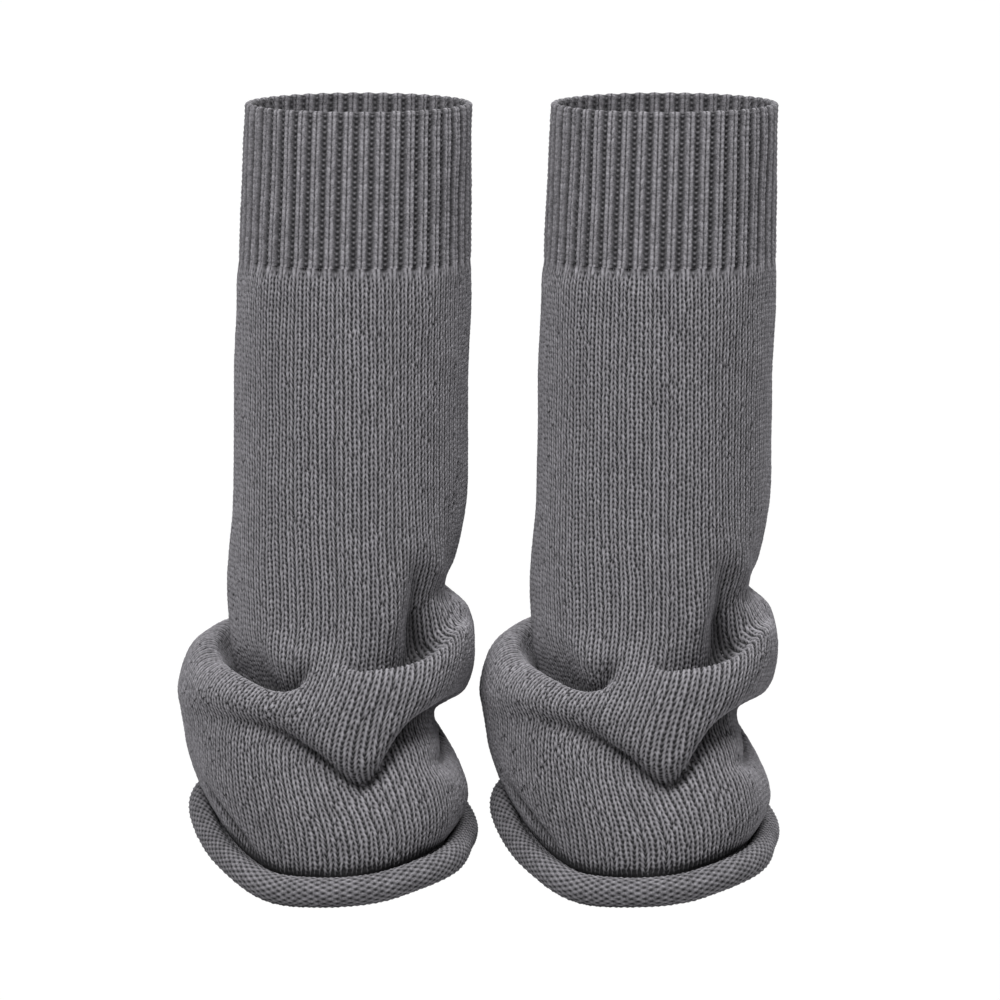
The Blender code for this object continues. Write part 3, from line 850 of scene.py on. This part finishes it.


class Shade:
    """Builds a material's nodes from plain sums."""

    def __init__(self, material):
        material.use_nodes = True
        self.nodes, self.links = material.node_tree.nodes, material.node_tree.links
        self.shader = self.nodes["Principled BSDF"]

    def node(self, kind, inputs=(), **values):
        """A new node, with its inputs joined or set, and its properties."""
        made = self.nodes.new(kind)
        for key, value in values.items():
            setattr(made, key, value)
        for key, value in dict(inputs).items():
            self.put(value, made.inputs[key])
        return made

    def put(self, value, socket):
        """Joins another node's output to a socket, or sets the socket to a constant."""
        if isinstance(value, bpy.types.NodeSocket):
            self.links.new(value, socket)
        else:
            socket.default_value = value

    def math(self, operation, *values):
        return self.node("ShaderNodeMath", dict(enumerate(values)), operation=operation).outputs[0]

    def add(self, first, second):
        return self.math("ADD", first, second)

    def times(self, first, second):
        return self.math("MULTIPLY", first, second)

    def beat(self, place, at, power):
        """1 where place is at, falling to 0 half a turn away."""
        angle = self.times(self.math("SUBTRACT", place, at), 2 * np.pi)
        wave = self.math("MULTIPLY_ADD", self.math("COSINE", angle), 0.5, 0.5)
        return self.math("POWER", wave, power)

    def bell(self, place, at, width, power=2.0):
        """1 where place is at, in turns, falling off over width of a turn."""
        away = self.math("PINGPONG", self.math("SUBTRACT", place, at), 0.5)
        fall = self.math("POWER", self.times(away, 1 / width), power)
        return self.math("EXPONENT", self.times(fall, -1.0))

    def ramp(self, value, start, end, low, high):
        """low to high with level ends while value goes from start to end."""
        return self.span(value, start, end, low, high, interpolation_type="SMOOTHSTEP")

    def span(self, value, start, end, low, high, **values):
        """low to high while value goes from start to end."""
        span = {"Value": value, "From Min": start, "From Max": end, "To Min": low, "To Max": high}
        return self.node("ShaderNodeMapRange", span, **values).outputs[0]

    def pair(self, first, second):
        """A vector of two numbers."""
        return self.node("ShaderNodeCombineXYZ", {0: first, 1: second}).outputs[0]

    def layer(self, name):
        """The two numbers that a UV layer holds at each place."""
        uv = self.node("ShaderNodeUVMap", uv_map=name).outputs[0]
        split = self.node("ShaderNodeSeparateXYZ", {0: uv})
        return split.outputs[0], split.outputs[1]

    def noise(self, place, scale, detail, **values):
        """Smooth noise about 0.5."""
        inputs = {"Vector": place, "Scale": scale, "Detail": detail}
        return self.node("ShaderNodeTexNoise", inputs, **values).outputs["Fac"]


def stockinette_dark(shade, across, along):
    """How deep a place is between the legs of the stitches, from 0 on a leg to 1 in a hole,
    with painted shade where the leg sinks behind the rolled hem.
    """
    grooves = holes = 0.0
    for place, width, depth, hole, power, hole_depth in GROOVES:
        groove = shade.bell(across, place, width, 3.0)
        grooves = shade.add(grooves, shade.times(groove, depth))
        beat = shade.beat(along, hole, power)
        holes = shade.add(holes, shade.times(shade.times(groove, hole_depth), beat))
    between = shade.times(shade.beat(along, 0.5, 4.0), BETWEEN_COURSES)
    plain = shade.add(holes, shade.math("MAXIMUM", between, grooves))
    # The first courses under the cuff still stand in ribs.
    fade = shade.ramp(along, 0.0, 3.0, 1.0, 0.0)
    ribbed = rib_dark(shade, shade.math("SUBTRACT", across, 0.5), along)
    knit = shade.add(plain, shade.times(fade, shade.math("SUBTRACT", ribbed, plain)))
    # The last ones sink behind the rolled hem, and shade is painted over them.
    return shade.add(knit, shade.ramp(along, COURSES - 3.0, COURSES - 0.4, 0.0, PAINTED_HEM_SHADE))


def rib_dark(shade, across, along):
    """The same on the rib: a knit wale at odd numbers across, and a purl one at even numbers."""
    turn = shade.times(across, 0.5)
    broken = shade.math("MULTIPLY_ADD", shade.beat(along, 0.5, 1.0), 0.2, 0.8)
    middle = shade.times(shade.bell(turn, 0.5, 0.055), broken)
    valley = shade.bell(turn, 0.0, 0.265, 4.0)
    beads = shade.times(shade.beat(along, 0.5, 3.0), RIB_BEADS)
    purls = shade.times(shade.beat(along, 0.2, 1.0), shade.bell(turn, 0.0, 0.15))
    bumps = shade.times(shade.beat(along, 0.7, 2.0), shade.bell(turn, 0.0, 0.065))
    # Painted shade in the valley, along the middle and in the gaps, less of it on the purl bumps.
    dark = shade.add(shade.times(middle, RIB_MIDDLE), shade.times(valley, RIB_VALLEY))
    dark = shade.add(dark, shade.math("MAXIMUM", beads, shade.times(purls, PURL_GAPS)))
    return shade.add(dark, shade.times(bumps, PURL_BUMPS))


def purl_dark(shade, across, along):
    """The same on the purl side, whose holes lie in a lattice, with shade painted in the groove."""
    first = shade.times(shade.bell(across, 0.0, 0.27), shade.beat(along, 0.0, 1.0))
    second = shade.times(shade.bell(across, 0.5, 0.27), shade.beat(along, 0.5, 1.0))
    # Painted shade where the roll dips into the groove behind it.
    groove_shade = shade.ramp(along, GROOVE_COURSES - 2.0, GROOVE_COURSES, 0.0, PAINTED_GROOVE_SHADE)
    dark = shade.add(shade.times(shade.add(first, second), LATTICE), LATTICE_LEAST)
    return shade.add(dark, groove_shade)


def yarn(name, dark_of, tone, fleck):
    """Matt grey heather wool: its tone differs from stitch to stitch, along its fibres and by
    flecks, and shade is painted on it where the stitches part."""
    material = bpy.data.materials.new(name)
    shade = Shade(material)
    for socket, value in YARN_FINISH:
        shade.shader.inputs[socket].default_value = value
    across, along = shade.layer("Stitch")
    own = shade.pair(shade.math("FLOOR", shade.times(across, 2.0)), shade.math("ROUND", along))
    chance = shade.node("ShaderNodeTexWhiteNoise", {"Vector": own}, noise_dimensions="2D")
    run = shade.pair(shade.times(across, FIBRE_RUN[0]), shade.times(along, FIBRE_RUN[1]))
    fibres = shade.noise(run, 1.6, 2.0, noise_dimensions="2D")
    place = shade.node("ShaderNodeTexCoord").outputs["Object"]
    flecks = shade.noise(place, FLECK_SCALE, 1.0)
    patches = shade.noise(place, PATCH_SCALE, 2.0)
    light = tone
    for source, amount in (
        (chance.outputs["Value"], LEG_TONES),
        (fibres, FIBRE_TONES),
        (flecks, fleck),
        (patches, SLOW_TONES),
    ):
        light = shade.math("MULTIPLY_ADD", shade.math("SUBTRACT", source, 0.5), amount, light)
    # Painted shade where the stitches part, deepest in the holes.
    dark = shade.math("MINIMUM", dark_of(shade, across, along), 1.0)
    light = shade.times(light, shade.math("MULTIPLY_ADD", dark, -PAINTED_GAP_SHADE, 1.0))
    # Light hardly reaches the bottom of a deep fold.
    depth, _ = shade.layer("Fold")
    light = shade.times(light, shade.span(depth, *FOLD_DEPTHS, 1.0, FOLD_LIGHT))
    colour = shade.node(
        "ShaderNodeMix",
        {"Factor": light, "A": BLACK, "B": YARN_GREY},
        data_type="RGBA",
        clamp_factor=False,
    )
    shade.put(colour.outputs["Result"], shade.shader.inputs["Base Color"])
    grain = shade.times(shade.add(fibres, flecks), FIBRE_RELIEF)
    relief = shade.add(grain, shade.times(dark, -1.0))
    bump = {"Strength": 0.6, "Distance": BUMP_HEIGHT, "Height": relief}
    bump = shade.node("ShaderNodeBump", bump).outputs[0]
    shade.put(bump, shade.shader.inputs["Normal"])
    return material


# ---------------------------------------------------------------- the studio

TARGET = (-0.0018, 0.0, -0.1676)
CAMERA_DISTANCE = 3.5
CAMERA_ELEVATION = 9.2  # degrees
FOCAL_LENGTH = 242.3  # on a 36 mm sensor
TABLE_GREY = 0.5
TABLE_REACH, BACKDROP_REACH = 3.0, 15.0  # metres, each way
AIR_LIGHT = 0.24
SQUARE = ((-1, -1), (1, -1), (1, 1), (-1, 1))
LAMPS = (
    # name, place, size, power
    ("key", (-0.78, -1.9, 2.1), 1.4, 81.0),
    ("top", (0.6, -0.7, 2.2), 1.2, 49.0),
    ("back", (0.3, 2.3, 1.5), 1.4, 45.0),
)


def stage_piece(name, points, faces, **finish):
    """A piece of the studio, of one plain material."""
    material = bpy.data.materials.new(name)
    material.use_nodes = True
    shader = material.node_tree.nodes["Principled BSDF"]
    for socket, value in finish.items():
        shader.inputs[socket.replace("_", " ")].default_value = value
    made = new_object(name, points, faces, material)
    return made


def aim(thing, place, target):
    """Puts a lamp or camera at a place, looking at the target."""
    thing.location = place
    thing.rotation_euler = (target - thing.location).to_track_quat("-Z", "Y").to_euler()
    bpy.context.scene.collection.objects.link(thing)


def studio(floor_height):
    """A white cove: the table and the air light the cloth, and the backdrop is only looked at."""
    scene = bpy.context.scene
    scene.view_settings.view_transform = "Standard"
    scene.view_settings.look = "None"
    table = stage_piece(
        "studio_table",
        [(x * TABLE_REACH, y * TABLE_REACH, floor_height) for x, y in SQUARE],
        [(0, 1, 2, 3)],
        Base_Color=(TABLE_GREY, TABLE_GREY, TABLE_GREY, 1.0),
        Roughness=0.9,
    )
    table.visible_camera = False
    backdrop = stage_piece(
        "studio_backdrop",
        [tuple(BACKDROP_REACH * part for part in (x, y, z)) for z in (-1, 1) for x, y in SQUARE],
        [(0, 1, 2, 3), (7, 6, 5, 4), (0, 4, 5, 1), (1, 5, 6, 2), (2, 6, 7, 3), (3, 7, 4, 0)],
        Base_Color=BLACK,
        Emission_Color=WHITE,
        Emission_Strength=1.0,
    )
    backdrop.visible_diffuse = backdrop.visible_glossy = backdrop.visible_shadow = False
    backdrop.visible_transmission = False

    world = bpy.data.worlds.new("studio_air")
    scene.world = world
    world.use_nodes = True
    air = world.node_tree.nodes["Background"]
    air.inputs["Color"].default_value = WHITE
    air.inputs["Strength"].default_value = AIR_LIGHT

    target = Vector(TARGET)
    for name, place, size, power in LAMPS:
        light = bpy.data.lights.new(name, "AREA")
        light.shape, light.size, light.energy = "DISK", size, power
        aim(bpy.data.objects.new(name, light), place, target)

    lens = bpy.data.cameras.new("camera")
    lens.lens, lens.sensor_width, lens.clip_end = FOCAL_LENGTH, 36.0, 60.0
    camera = bpy.data.objects.new("camera", lens)
    angle = np.radians(CAMERA_ELEVATION)
    back, up = CAMERA_DISTANCE * np.cos(angle), CAMERA_DISTANCE * np.sin(angle)
    aim(camera, target + Vector((0, -back, up)), target)
    scene.camera = camera


def main():
    """Dresses the two tubes and builds the studio."""
    for old in list(bpy.data.objects):
        bpy.data.objects.remove(old)
    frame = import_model()
    hold_height = (CUFF[0][1] + CUFF[1][1]) / 2
    rib_yarn = yarn("rib_yarn", rib_dark, tone=0.77, fleck=1.2)
    plain_yarn = yarn("plain_yarn", stockinette_dark, tone=0.97, fleck=0.6)
    hem_yarn = yarn("hem_yarn", purl_dark, tone=0.93, fleck=1.3)
    sheet, normals = leg_sheet()
    for side, direction in (("left", -1), ("right", 1)):
        x = direction * UNIT_SPACING / 2
        cuff = cuff_piece(rib_yarn, side, x, hold_height)
        straight, slouch = leg_pieces(sheet, normals, plain_yarn, side, x, hold_height)
        hem = hem_piece(sheet, hem_yarn, side, x, hold_height)
        for piece, node, slot in (
            (cuff, "rib_cuff", "rib_knit"),
            (straight, "straight_leg", "plain_knit"),
            (slouch, "slouch_leg", "plain_knit"),
            (hem, "rolled_hem", "hem_knit"),
        ):
            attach(piece, "root")
            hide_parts(f"{side}_{node}")
    bpy.context.view_layer.update()
    # The table is as high as the solids' lowest point.
    studio(float(min(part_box(name)[0].z for name in frame["nodes"])))


main()
